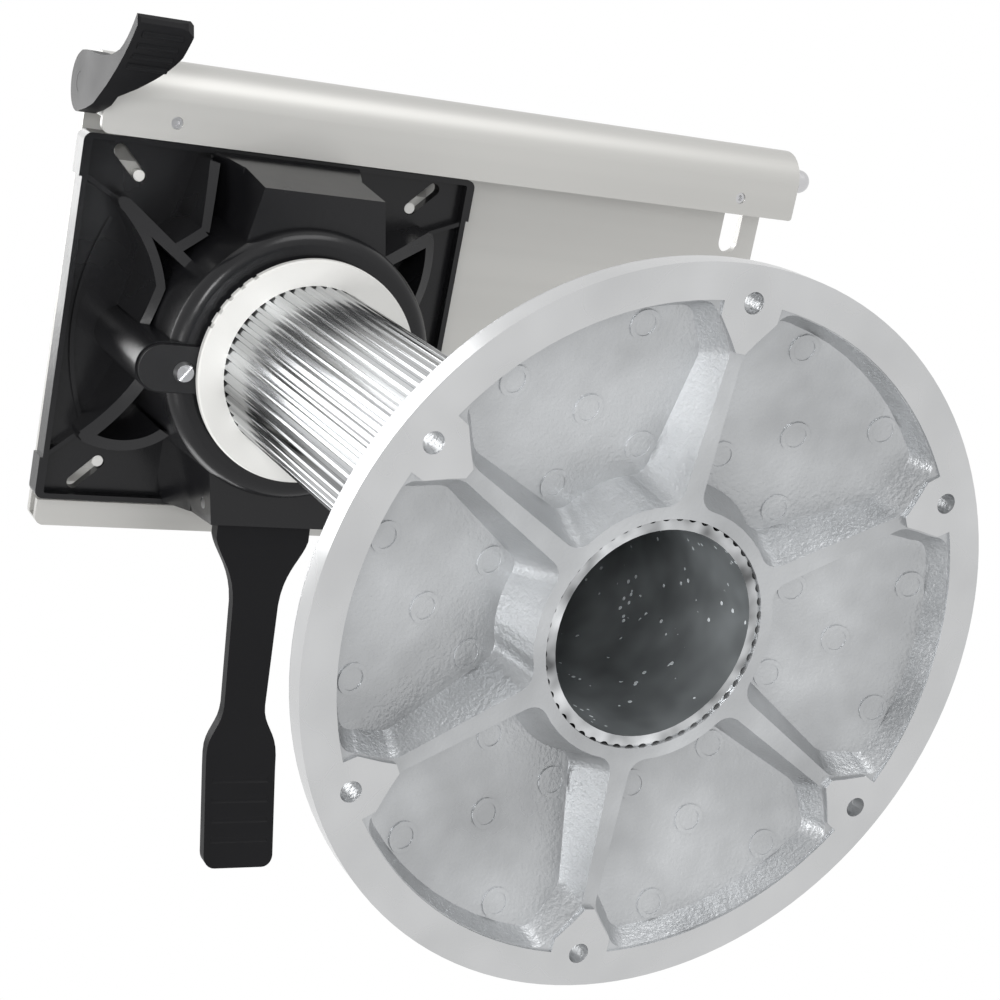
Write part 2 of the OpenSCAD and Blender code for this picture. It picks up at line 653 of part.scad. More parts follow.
module lock_pin() {
    color(steel) translate([-collar_r - 1, 0, lock_z]) rotate([0, 90, 0]) {
        cylinder(r = lock_d / 2, h = collar_r - bush_r - 2.2);
        translate([0, 0, collar_r - bush_r - 2.2]) cylinder(r1 = lock_d / 2, r2 = lock_d / 2 - 1, h = 1.2);
    }
}

// Section of the joggled carriage plate, as x against z
module carriage_section() {
    flat = carriage_flat;
    knee = carriage_knee;
    left = plate_flat_x - plate_t - 1.9;
    polygon([[-left, edge_z], [-knee, edge_z], [-flat - 1, web_top], [flat + 1, web_top], [knee, edge_z],
        [leg_x0, edge_z], [leg_x0, leg_z], [leg_x1, leg_z], [leg_x1, edge_top], [knee - 1.2, edge_top],
        [flat - 0.2, web_top + carriage_t], [-flat + 0.2, web_top + carriage_t], [-knee + 1.2, edge_top],
        [-left, edge_top]]);
}

module slide_plate() {
    color(aluminium) difference() {
        along_y(-carriage_half, carriage_half) carriage_section();
        for (sx = [-1, 1], sy = [-1, 1]) {
            translate([sx * slot_in, sy * slot_in, web_top - 1]) cylinder(d = peg_d, h = 12);
            translate([sx * screw_x, sy * screw_y, web_top - 1]) cylinder(d = screw_d + 0.4, h = 12);
            translate([sx * screw_x, sy * screw_y, web_top + carriage_t - 2.4])
                cylinder(r1 = screw_d / 2 + 0.5, r2 = screw_d / 2 + 3.2, h = 2.8);
        }
        rack_screw_bars(rack_screw_d + 2 * EPS, leg_x0 - 2, rack_x + 2);
    }
}

module carriage_screws() {
    color(steel) for (sx = [-1, 1], sy = [-1, 1]) translate([sx * screw_x, sy * screw_y, web_top]) difference() {
        union() {
            translate([0, 0, -screw_depth]) cylinder(d = screw_d, h = screw_depth + 1);
            translate([0, 0, carriage_t - 2.4]) cylinder(r1 = screw_d / 2, r2 = screw_d / 2 + 2.3, h = 2.3);
        }
        for (a = [45, 135]) rotate(a) translate([-2.4, -0.5, carriage_t - 1.4]) cube([4.8, 1, 3]);
    }
}

module locating_pegs() {
    color(nylon) for (sx = [-1, 1], sy = [-1, 1]) translate([sx * slot_in, sy * slot_in, floor_z + 0.8]) {
        cylinder(d = peg_d - 0.1, h = web_top + carriage_t - floor_z - 0.8);
        translate([0, 0, web_top + carriage_t - floor_z - 0.8]) cylinder(d = peg_d + 2.2, h = 1.6);
    }
}

module glide_flat() {
    left = plate_flat_x - plate_t - 1.9;
    inner = hem_z + plate_t + glide_gap;
    outer = web_under - glide_gap;
    color(nylon) along_y(-carriage_half, carriage_half) difference() {
        translate([-left - 1.6, inner]) square([12, outer - inner]);
        translate([-left, edge_z]) square([14, carriage_t]);
    }
}

module glide_tall() {
    bottom = rail_z + plate_t + glide_gap;
    inner = housing_x / 2 + 2.2;
    color(nylon) difference() {
        along_y(-carriage_half, carriage_half) {
            translate([inner, bottom]) square([leg_x0 - inner, edge_z - bottom]);
            translate([inner, bottom]) square([leg_x1 - inner, leg_z - bottom]);
        }
        for (y = [-60:20:60]) translate([inner - 1, y - 7, bottom + 6]) cube([2.4, 14, edge_z - bottom - 9]);
    }
}

module glide_top() {
    inner = carriage_knee + 1;
    color(nylon) translate([inner, -carriage_half, edge_top])
        cube([leg_x1 - inner, 2 * carriage_half, glide_t]);
}

module lock_rack() {
    middle = (rack_n - 1) / 2;
    color(steel) difference() {
        translate([leg_x1, -carriage_half, leg_z + 2]) cube([rack_t, 2 * carriage_half, edge_z - leg_z - 0.5]);
        for (i = [-middle:middle]) translate([leg_x1 - 1, i * rack_pitch - window_w / 2, rod_z + 4.2])
            cube([rack_t + 2, window_w, 8.2]);
        rack_screw_bars(rack_screw_d + 2 * EPS, leg_x1 - 1, rack_x + 1);
    }
}

// Bars for the rack screws, between the outer windows, from x0 to x1
module rack_screw_bars(d, x0, x1) {
    for (s = [-1, 1]) translate([x0, s * (dog_y - rack_pitch / 2), rod_z + 6.5]) rotate([0, 90, 0])
        cylinder(d = d, h = x1 - x0);
}

module rack_screws() {
    color(steel) rack_screw_bars(rack_screw_d, leg_x0 + 0.1, rack_x - 0.1);
}

// Section of the seat plate, as x against z
module plate_section() {
    left = -plate_flat_x;
    translate([left, web_under]) square([rail_x - left, plate_top - web_under]);
    translate([left, hem_z]) square([plate_t, hem_h]);
    translate([left, hem_z]) square([hem_w, plate_t]);
    translate([rail_x - flange_w, rail_z]) square([flange_w, plate_t]);
    translate([rail_x, rail_z + rail_r]) intersection() {
        difference() {
            circle(r = rail_r);
            circle(r = rail_r - plate_t);
        }
        translate([0, -rail_r]) square([rail_r, 2 * rail_r]);
    }
    translate([rail_x - EPS, web_under]) square([3, plate_top - web_under - 0.35]);
}

// Cuts a round corner on a vertical edge at p, where the piece lies towards sx, sy
module corner_cut(p, sx, sy, r, z0, z1) {
    translate([p[0], p[1], z0]) difference() {
        translate([sx > 0 ? -1 : -r, sy > 0 ? -1 : -r, 0]) cube([r + 1, r + 1, z1 - z0]);
        translate([sx * r, sy * r, -1]) cylinder(r = r, h = z1 - z0 + 2, $fn = 48);
    }
}

module seat_plate() {
    color(aluminium) difference() {
        along_y(plate_y0, plate_y1) plate_section();
        for (sx = [-1, 1], y = [plate_y0 + seat_slot_end, plate_y1 - seat_slot_end])
            translate([sx * seat_slot_x, y, web_under - 1]) linear_extrude(plate_top - web_under + 2)
                slot_2d([-(seat_slot_l - seat_slot_w) / 2, 0], [(seat_slot_l - seat_slot_w) / 2, 0], seat_slot_w);
        for (y = adjuster_at()) translate([rail_x - 8.5, y, rail_z - 1]) cylinder(d = adjuster_d, h = plate_t + 2);
        corner_cut([-plate_flat_x, plate_y0], 1, 1, 4, hem_z - 1, plate_top + 1);
        corner_cut([-plate_flat_x, plate_y1], 1, -1, 4, hem_z - 1, plate_top + 1);
        corner_cut([rail_x - flange_w, plate_y0], 1, 1, 3.5, rail_z - 1, rail_z + plate_t + 1);
        corner_cut([rail_x - flange_w, plate_y1], 1, -1, 1.6, rail_z - 1, rail_z + plate_t + 1);
    }
}

// Places of the adjuster screws along the rail
function adjuster_at() = [plate_y0 + 31.4, plate_y1 - 30.9];

module adjuster_screws() {
    color(steel) for (y = adjuster_at()) translate([rail_x - 8.5, y, rail_z + 0.7]) difference() {
        cylinder(d = adjuster_d - 0.1, h = plate_t - 0.7);
        translate([0, 0, -0.5]) cylinder(d = 2.9, h = 1.9, $fn = 6);
    }
}

// Nylon block that fills the deep rail and carries the rod, from y0 to y1
module rail_block(y0, y1) {
    bottom = rail_z + plate_t + 0.1;
    difference() {
        along_y(y0, y1) {
            translate([leg_x0 - 1, bottom]) square([rail_x - leg_x0 + 1, web_under - 0.1 - bottom]);
            translate([rail_x, rail_z + rail_r]) intersection() {
                circle(r = rail_r - plate_t - 0.1);
                translate([0, -rail_r]) square([rail_r, web_under - 0.1 - rail_z]);
            }
        }
        bar_y(rod_x, rod_z, rod_d / 2 + pin_gap, y0 - 1, y1 + 1);
    }
}

module bearing_front() {
    color(nylon) rail_block(plate_y0, -carriage_half - stop_gap);
}

module slide_stop() {
    start = carriage_half + stop_gap + slide_travel;
    color(nylon) rail_block(start, start + 12);
}

module bearing_rear() {
    color(nylon) rail_block(plate_y1 - 12, plate_y1);
}

module lock_rod() {
    hub_y = plate_y0 - 1.5 - handle_hub_w / 2;
    color(steel) difference() {
        bar_y(rod_x, rod_z, rod_d / 2, hub_y - handle_hub_w / 2 + 0.5, plate_y1 + 5);
        roll_pin_hole(1.5);
    }
}

// Cross hole of the roll pin, along the slide lever's length
module roll_pin_hole(r) {
    hub_y = plate_y0 - 1.5 - handle_hub_w / 2;
    translate([rod_x, hub_y, rod_z]) rotate([0, handle_drop + 90, 0])
        cylinder(r = r, h = 2 * handle_hub_r + 6, center = true, $fn = 32);
}

module lever_roll_pin() {
    hub_y = plate_y0 - 1.5 - handle_hub_w / 2;
    color(steel) translate([rod_x, hub_y, rod_z]) rotate([0, handle_drop + 90, 0])
        cylinder(r = 1.5 - EPS, h = 2 * handle_hub_r - 4, center = true, $fn = 32);
}

// Slide lever, drawn level and then turned down about the rod
module slide_lever() {
    y0 = plate_y0 - 1.5 - handle_hub_w;
    y_hub = plate_y0 - 1.5;
    y_tip = y0 + handle_w;
    r = handle_hub_r;
    l = handle_l;
    color(black) difference() {
        translate([rod_x, 0, rod_z]) rotate([0, handle_drop, 0]) {
            intersection() {
                along_y(y0, y_tip) {
                    polygon(concat([[0, r]], curve([4, r], [18, 8], [24, 1.5], [l - 30, -2.5], 8),
                        curve([l - 22, -3.4], [l - 14, -3], [l - 6, 1], [l - 1.5, 4], 5), [[l, 2], [l, 0]],
                        curve([l - 1, -0.8], [l - 9, -5], [l - 20, -9], [l - 38, -12.4], 6),
                        [[18, -14.6], [8, -13.6], [0, -r], [-4, 0]]));
                    circle(r = r);
                }
                translate([0, 0, -40]) linear_extrude(80) polygon(concat([[-r - 1, y0], [-r - 1, y_hub],
                    [22, y_hub]], curve([26, y_hub], [l - 38, y_hub + 5], [l - 26, y_tip - 3],
                    [l - 14, y_tip - 0.4], 8), [[l - 3, y_tip], [l - 0.5, y_tip - 3], [l, y_tip - 6], [l + 1, y0 + 2],
                    [l - 1, y0]]));
            }
            for (i = [0:3]) bar_y(l - 23 + 6 * i, -8.6 + 1.9 * i + 0.1 * i * i, 1.7, y0 + 3, y_tip - 4);
        }
        bar_y(rod_x, rod_z, rod_d / 2 + EPS, y0 - 1, y_tip + 1);
        roll_pin_hole(1.5);
    }
}

module lock_dog() {
    w = window_w - 1.4;
    color(steel) difference() {
        union() {
            bar_y(rod_x, rod_z, dog_hub_r, dog_y - w / 2, dog_y + w / 2);
            translate([rod_x - 1.8, dog_y - w / 2, rod_z]) cube([3.6, w, dog_reach]);
        }
        bar_y(rod_x, rod_z, rod_d / 2 + EPS, dog_y - w, dog_y + w);
    }
}

module rod_cap() {
    color(steel) translate([rod_x, plate_y1 + 0.6, rod_z]) rotate([-90, 0, 0]) difference() {
        rotate_extrude() polygon(concat([[0, 0], [rod_d / 2 + 1.6, 0]],
            arc([0, 4], rod_d / 2 + 1.6, 0, 90, 6)));
        translate([0, 0, -1]) cylinder(r = rod_d / 2 + EPS, h = 5.42);
    }
}

base_casting();
post_tube();
swivel_bushing();
thrust_disc();
swivel_housing();
retainer_tab();
retainer_screw();
lever_pin();
lever_spring();
slide_plate();
carriage_screws();
locating_pegs();
glide_flat();
glide_tall();
glide_top();
lock_rack();
rack_screws();
swivel_lever();
lock_pin();
seat_plate();
bearing_front();
bearing_rear();
slide_stop();
adjuster_screws();
lock_rod();
slide_lever();
lock_dog();
rod_cap();
lever_roll_pin();
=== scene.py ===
"""Boat seat pedestal: finishes, cast edges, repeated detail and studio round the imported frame."""

import json
import logging
import math
from dataclasses import dataclass, field
from enum import Enum
from typing import Iterable, Optional, Sequence

import bmesh
import bpy
from mathutils import Matrix, Vector

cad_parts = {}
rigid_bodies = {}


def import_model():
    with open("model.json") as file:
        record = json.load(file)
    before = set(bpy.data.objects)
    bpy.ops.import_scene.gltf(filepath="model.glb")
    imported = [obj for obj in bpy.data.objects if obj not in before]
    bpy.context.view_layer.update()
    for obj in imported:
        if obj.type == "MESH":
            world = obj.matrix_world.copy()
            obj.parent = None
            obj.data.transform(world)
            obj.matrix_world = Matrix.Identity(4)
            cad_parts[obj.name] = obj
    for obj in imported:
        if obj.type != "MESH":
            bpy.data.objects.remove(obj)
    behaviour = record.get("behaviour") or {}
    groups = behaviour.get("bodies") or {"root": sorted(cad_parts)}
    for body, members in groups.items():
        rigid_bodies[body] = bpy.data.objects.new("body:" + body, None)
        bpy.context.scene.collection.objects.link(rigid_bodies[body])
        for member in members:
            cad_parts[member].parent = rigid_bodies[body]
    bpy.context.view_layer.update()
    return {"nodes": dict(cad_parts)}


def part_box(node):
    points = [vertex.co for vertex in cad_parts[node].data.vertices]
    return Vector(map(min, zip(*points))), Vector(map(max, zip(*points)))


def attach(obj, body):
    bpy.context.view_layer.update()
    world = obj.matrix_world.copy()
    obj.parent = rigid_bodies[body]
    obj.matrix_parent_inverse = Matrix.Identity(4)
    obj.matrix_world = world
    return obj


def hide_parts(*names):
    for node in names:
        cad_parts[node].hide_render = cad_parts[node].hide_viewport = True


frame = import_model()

LOG = logging.getLogger("pedestal")
Colour = tuple[float, float, float]
Place = tuple[float, float, float]

MM = 0.001
MERGE_DISTANCE = 0.002 * MM
FLAT_ANGLE = 0.6
ROUNDED_SHARP_ANGLE = 32.0

COAT_ROUGHNESS = 0.12
BUMP_STRENGTH = 0.6
LINE_STRETCH = 0.012
ROUGH_DRIFT = (0.3, 0.7)
TONE_DRIFT = (0.32, 0.68)


class Body(Enum):
    """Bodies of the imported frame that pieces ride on."""

    BASE = "base"
    MOUNT = "mount"
    SWIVEL_LEVER = "swivel_lever"
    LOCK_PIN = "lock_pin"
    SEAT_SLIDE = "seat_slide"
    SLIDE_LEVER = "slide_lever"


class Skin(Enum):
    """How a surface was made, which sets its pattern."""

    CAST = "cast"
    COATED = "coated"
    DRAWN_Y = "drawn along the slide"
    DRAWN_Z = "drawn along the post"
    MOULDED = "moulded"
    TURNED = "turned"
    # Swarf specks on this skin are also painted past full white as glints.
    FLECKED_WITH_PAINTED_GLINTS = "drawn and flecked with swarf"


# Shader groups


class GroupBuilder:
    """Builds one shader node group with named inputs and outputs."""

    def __init__(self, name: str, inputs: dict[str, float], outputs: Sequence[str]) -> None:
        """Make the group and its sockets.

        Args:
            name: Name of the group.
            inputs: Float inputs with their defaults.
            outputs: Float outputs.
        """
        self.tree = bpy.data.node_groups.new(name, "ShaderNodeTree")
        self.tree.interface.new_socket("Vector", in_out="INPUT", socket_type="NodeSocketVector")
        for key, value in inputs.items():
            item = self.tree.interface.new_socket(key, in_out="INPUT", socket_type="NodeSocketFloat")
            item.default_value = value
        for key in outputs:
            self.tree.interface.new_socket(key, in_out="OUTPUT", socket_type="NodeSocketFloat")
        self.start = self.tree.nodes.new("NodeGroupInput")
        self.end = self.tree.nodes.new("NodeGroupOutput")

    def add(self, kind: str, **settings: object) -> bpy.types.Node:
        """Add a node and set its attributes."""
        node = self.tree.nodes.new(kind)
        for key, value in settings.items():
            setattr(node, key, value)
        return node

    def link(self, source: bpy.types.NodeSocket, target: bpy.types.NodeSocket) -> None:
        """Link two sockets."""
        self.tree.links.new(source, target)

    def math(self, operation: str, a: object, b: object = 0.0) -> bpy.types.NodeSocket:
        """Add a Math node.

        Args:
            operation: Name of the operation.
            a: First input, a socket or a number.
            b: Second input, a socket or a number.

        Returns:
            The output socket.
        """
        node = self.add("ShaderNodeMath", operation=operation)
        for index, value in enumerate((a, b)):
            if isinstance(value, (int, float)):
                node.inputs[index].default_value = value
            else:
                self.link(value, node.inputs[index])
        return node.outputs[0]

    def noise(self, vector: bpy.types.NodeSocket, scale: object, detail: float,
              roughness: float = 0.55) -> bpy.types.NodeSocket:
        """Add a noise texture and give its factor.

        Args:
            vector: Coordinates.
            scale: Scale, a socket or a number.
            detail: Octaves.
            roughness: Weight of the finer octaves.

        Returns:
            The factor socket.
        """
        node = self.add("ShaderNodeTexNoise")
        node.inputs["Detail"].default_value = detail
        node.inputs["Roughness"].default_value = roughness
        self.link(vector, node.inputs["Vector"])
        if isinstance(scale, (int, float)):
            node.inputs["Scale"].default_value = scale
        else:
            self.link(scale, node.inputs["Scale"])
        return node.outputs["Fac"]


def grain_group() -> bpy.types.ShaderNodeTree:
    """Fine grain of a cast, coated or moulded skin, with a slow drift over the piece.

    Returns:
        A group with outputs Height and Drift, both about 0.5 on average.
    """
    b = GroupBuilder("skin_grain", {"Scale": 900.0, "Slow Scale": 22.0}, ("Height", "Drift"))
    fine_share, coarse_share, coarse_scale = 0.65, 0.35, 0.22
    vector = b.start.outputs["Vector"]
    fine = b.noise(vector, b.start.outputs["Scale"], 2.0)
    coarse = b.noise(vector, b.math("MULTIPLY", b.start.outputs["Scale"], coarse_scale), 1.0)
    height = b.math("ADD", b.math("MULTIPLY", fine, fine_share), b.math("MULTIPLY", coarse, coarse_share))
    b.link(height, b.end.inputs["Height"])
    b.link(b.noise(vector, b.start.outputs["Slow Scale"], 3.0), b.end.inputs["Drift"])
    return b.tree


def line_group() -> bpy.types.ShaderNodeTree:
    """Lines that a die or a belt leaves along one direction, given a stretched vector.

    Returns:
        A group with outputs Height and Drift.
    """
    b = GroupBuilder("draw_lines", {"Scale": 700.0}, ("Height", "Drift"))
    fine_share, broad_share, broad_scale = 0.6, 0.4, 0.12
    vector = b.start.outputs["Vector"]
    fine = b.noise(vector, b.start.outputs["Scale"], 3.0, 0.7)
    broad = b.noise(vector, b.math("MULTIPLY", b.start.outputs["Scale"], broad_scale), 2.0)
    b.link(b.math("ADD", b.math("MULTIPLY", fine, fine_share), b.math("MULTIPLY", broad, broad_share)),
           b.end.inputs["Height"])
    b.link(broad, b.end.inputs["Drift"])
    return b.tree


def turned_group() -> bpy.types.ShaderNodeTree:
    """Rings that a lathe tool leaves round the Z axis of the vector.

    Returns:
        A group with outputs Height and Drift.
    """
    b = GroupBuilder("turning_rings", {"Pitch": 2600.0}, ("Height", "Drift"))
    ripple_share, uneven_scale, drift_scale = 0.12, 900.0, 30.0
    split = b.add("ShaderNodeSeparateXYZ")
    b.link(b.start.outputs["Vector"], split.inputs[0])
    square = b.math("ADD", b.math("MULTIPLY", split.outputs[0], split.outputs[0]),
                    b.math("MULTIPLY", split.outputs[1], split.outputs[1]))
    radius = b.math("SQRT", square)
    ripple = b.math("SINE", b.math("MULTIPLY", radius, b.start.outputs["Pitch"]))
    join = b.add("ShaderNodeCombineXYZ")
    b.link(radius, join.inputs[0])
    uneven = b.noise(join.outputs[0], uneven_scale, 3.0, 0.7)
    mixed = b.math("ADD", b.math("MULTIPLY", ripple, ripple_share), uneven)
    b.link(mixed, b.end.inputs["Height"])
    b.link(b.noise(b.start.outputs["Vector"], drift_scale, 2.0), b.end.inputs["Drift"])
    return b.tree


def fleck_and_glint_group() -> bpy.types.ShaderNodeTree:
    """Drawn skin with scratches and swarf specks, the specks also painted past full white as glints.

    Returns:
        A group with outputs Height and Drift, Drift well above one on each swarf speck, which paints a
        glint past full white.
    """
    b = GroupBuilder("bore_flecks_and_painted_glints", {"Scale": 900.0, "Amount": 0.2}, ("Height", "Drift"))
    cell_scale, patch_scale, broad_scale = 0.32, 0.16, 0.05
    # The last gain lifts each swarf speck's colour past full white: a painted glint.
    patch_floor, broad_share, painted_glint_gain = 0.6, 0.2, 3.0
    vector, scale = b.start.outputs["Vector"], b.start.outputs["Scale"]
    cells = b.add("ShaderNodeTexVoronoi")
    b.link(vector, cells.inputs["Vector"])
    b.link(b.math("MULTIPLY", scale, cell_scale), cells.inputs["Scale"])
    patches = b.noise(vector, b.math("MULTIPLY", scale, patch_scale), 0.0)
    pick = b.math("GREATER_THAN", patches, patch_floor)
    near = b.math("LESS_THAN", cells.outputs["Distance"], b.start.outputs["Amount"])
    # Swarf specks, later painted past full white as glints.
    fleck_and_glint = b.math("MULTIPLY", pick, near)
    broad = b.noise(vector, b.math("MULTIPLY", scale, broad_scale), 2.0)
    b.link(b.math("ADD", b.math("MULTIPLY", broad, broad_share), fleck_and_glint), b.end.inputs["Height"])
    b.link(b.math("ADD", broad, b.math("MULTIPLY", fleck_and_glint, painted_glint_gain)), b.end.inputs["Drift"])
    return b.tree


class Groups:
    """The shared shader groups, each built once."""

    def __init__(self) -> None:
        """Build the groups."""
        self.grain = grain_group()
        self.lines = line_group()
        self.turned = turned_group()
        self.flecked_with_painted_glints = fleck_and_glint_group()


# Finishes


@dataclass(frozen=True)
class Finish:
    """A finish: colour, gloss and the pattern of its skin."""

    name: str
    slot: str
    skin: Skin
    colour: Colour
    metallic: float = 0.0
    roughness: float = 0.4
    rough_spread: float = 0.1
    tone_spread: float = 0.06
    grain: float = 900.0
    depth: float = 0.00004
    coat: float = 0.0
    specular: float = 0.5

    def pattern(self, tree: bpy.types.NodeTree, groups: Groups) -> bpy.types.Node:
        """Add the skin's pattern on Object coordinates.

        Args:
            tree: The material's tree.
            groups: The shared shader groups.

        Returns:
            The group node, with outputs Height and Drift.
        """
        where = tree.nodes.new("ShaderNodeTexCoord").outputs["Object"]
        if self.skin in (Skin.DRAWN_Y, Skin.DRAWN_Z):
            stretch = tree.nodes.new("ShaderNodeMapping")
            along = (1.0, LINE_STRETCH, 1.0) if self.skin is Skin.DRAWN_Y else (1.0, 1.0, LINE_STRETCH)
            stretch.inputs["Scale"].default_value = along
            tree.links.new(where, stretch.inputs["Vector"])
            where = stretch.outputs["Vector"]
        node = tree.nodes.new("ShaderNodeGroup")
        patterns = {Skin.DRAWN_Y: groups.lines, Skin.DRAWN_Z: groups.lines, Skin.TURNED: groups.turned,
                    Skin.FLECKED_WITH_PAINTED_GLINTS: groups.flecked_with_painted_glints}
        node.node_tree = patterns.get(self.skin, groups.grain)
        if self.skin is not Skin.TURNED:
            node.inputs["Scale"].default_value = self.grain
        tree.links.new(where, node.inputs["Vector"])
        return node

    def material(self, groups: Groups) -> bpy.types.Material:
        """Build the material.

        Args:
            groups: The shared shader groups.

        Returns:
            The material.
        """
        mat = bpy.data.materials.new(self.name)
        mat.use_nodes = True
        tree = mat.node_tree
        shader = tree.nodes["Principled BSDF"]
        shader.inputs["Metallic"].default_value = self.metallic
        shader.inputs["Coat Weight"].default_value = self.coat
        shader.inputs["Coat Roughness"].default_value = COAT_ROUGHNESS
        shader.inputs["Specular IOR Level"].default_value = self.specular
        skin = self.pattern(tree, groups)

        rough = tree.nodes.new("ShaderNodeMapRange")
        rough.inputs["From Min"].default_value, rough.inputs["From Max"].default_value = ROUGH_DRIFT
        rough.inputs["To Min"].default_value = max(0.02, self.roughness - self.rough_spread)
        rough.inputs["To Max"].default_value = min(1.0, self.roughness + self.rough_spread)
        tree.links.new(skin.outputs["Drift"], rough.inputs["Value"])
        tree.links.new(rough.outputs["Result"], shader.inputs["Roughness"])

        # Tone is left unclamped on the bore's skin so that its swarf specks paint glints past full white.
        clamped = self.skin is not Skin.FLECKED_WITH_PAINTED_GLINTS
        spread = tree.nodes.new("ShaderNodeMapRange")
        spread.clamp = clamped
        spread.inputs["From Min"].default_value, spread.inputs["From Max"].default_value = TONE_DRIFT
        tree.links.new(skin.outputs["Drift"], spread.inputs["Value"])
        tone = tree.nodes.new("ShaderNodeMix")
        tone.data_type = "RGBA"
        tone.clamp_factor = clamped
        dark, light = 1 - self.tone_spread, 1 + self.tone_spread
        tone.inputs["A"].default_value = (*[c * dark for c in self.colour], 1.0)
        tone.inputs["B"].default_value = (*[min(1.0, c * light) for c in self.colour], 1.0)
        tree.links.new(spread.outputs["Result"], tone.inputs["Factor"])
        tree.links.new(tone.outputs["Result"], shader.inputs["Base Color"])

        bump = tree.nodes.new("ShaderNodeBump")
        bump.inputs["Strength"].default_value = BUMP_STRENGTH
        bump.inputs["Distance"].default_value = self.depth
        tree.links.new(skin.outputs["Height"], bump.inputs["Height"])
        tree.links.new(bump.outputs["Normal"], shader.inputs["Normal"])
        return mat


CAST_ALUMINIUM = Finish(
    "cast_aluminium", "base_casting", Skin.CAST, (0.45, 0.46, 0.47), metallic=0.75, roughness=0.36,
    rough_spread=0.12, tone_spread=0.2, grain=800.0, depth=0.0006)
MACHINED_RIM = Finish(
    "machined_rim", "base_casting", Skin.TURNED, (0.54, 0.545, 0.55), metallic=0.9, roughness=0.27,
    rough_spread=0.08, tone_spread=0.05)
BRIGHT_POST = Finish(
    "anodised_post", "post", Skin.DRAWN_Z, (0.50, 0.51, 0.52), metallic=1.0, roughness=0.2,
    rough_spread=0.08, tone_spread=0.75, grain=500.0)
# The bore: dark drawn metal whose swarf specks are painted past full white as glints.
POST_BORE = Finish(
    "drawn_bore", "post", Skin.FLECKED_WITH_PAINTED_GLINTS, (0.30, 0.32, 0.33), metallic=0.6, roughness=0.42,
    tone_spread=0.25, depth=0.0001)
SATIN_SLIDE = Finish(
    "anodised_slide", "slide", Skin.DRAWN_Y, (0.56, 0.555, 0.535), metallic=0.5, roughness=0.44,
    rough_spread=0.05, tone_spread=0.03, grain=700.0, depth=0.00002)
BLACK_COAT = Finish(
    "gloss_black_coat", "black_casting", Skin.COATED, (0.008, 0.008, 0.009), roughness=0.24,
    rough_spread=0.06, grain=420.0, depth=0.00008, specular=0.32)
BLACK_PLATE = Finish(
    "satin_black_plate", "black_plate", Skin.COATED, (0.012, 0.012, 0.013), roughness=0.42,
    rough_spread=0.05, tone_spread=0.05, grain=700.0, depth=0.00003, specular=0.35)
BLACK_NYLON = Finish(
    "satin_black_nylon", "black_lever", Skin.MOULDED, (0.009, 0.009, 0.01), roughness=0.45,
    rough_spread=0.06, grain=1100.0, depth=0.00005, specular=0.12)
WHITE_NYLON = Finish(
    "white_nylon", "nylon", Skin.MOULDED, (0.78, 0.775, 0.75), roughness=0.45,
    rough_spread=0.06, tone_spread=0.03, depth=0.00002)
STAINLESS = Finish(
    "stainless", "steel", Skin.DRAWN_Y, (0.55, 0.55, 0.56), metallic=1.0, roughness=0.3,
    rough_spread=0.06, tone_spread=0.05, depth=0.00002)


class Paintbox:
    """Holds one material for each finish."""

    def __init__(self) -> None:
        """Build the shader groups."""
        self.groups = Groups()
        self.made: dict[str, bpy.types.Material] = {}

    def get(self, finish: Finish) -> bpy.types.Material:
        """Give the material of a finish, building it once."""
        if finish.name not in self.made:
            self.made[finish.name] = finish.material(self.groups)
        return self.made[finish.name]


# Mesh helpers


def paint(obj: bpy.types.Object, mats: Iterable[bpy.types.Material]) -> None:
    """Give an object these materials and no others."""
    obj.data.materials.clear()
    for mat in mats:
        obj.data.materials.append(mat)


def new_piece(name: str, mesh: bpy.types.Mesh, body: Body, finish: Finish, box: Paintbox,
              replaces: Sequence[str] = ()) -> bpy.types.Object:
    """Make a piece that rides on a body.

    Args:
        name: Name of the piece.
        mesh: Its mesh, in the row frame.
        body: The body that it rides on.
        finish: Its finish.
        box: The materials.
        replaces: CAD nodes that it stands for.

    Returns:
        The object.
    """
    mesh.name = name
    obj = bpy.data.objects.new(name, mesh)
    bpy.context.scene.collection.objects.link(obj)
    if not mesh.materials:
        paint(obj, [box.get(finish)])
    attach(obj, body.value)
    if replaces:
        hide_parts(*replaces)
    LOG.info("%s: %d faces on %s", name, len(mesh.polygons), body.value)
    return obj


def baked(obj: bpy.types.Object) -> bpy.types.Mesh:
    """Give an object's mesh with its modifiers worked in, and take the modifiers away."""
    mesh = bpy.data.meshes.new_from_object(obj.evaluated_get(bpy.context.evaluated_depsgraph_get()))
    obj.modifiers.clear()
    return mesh


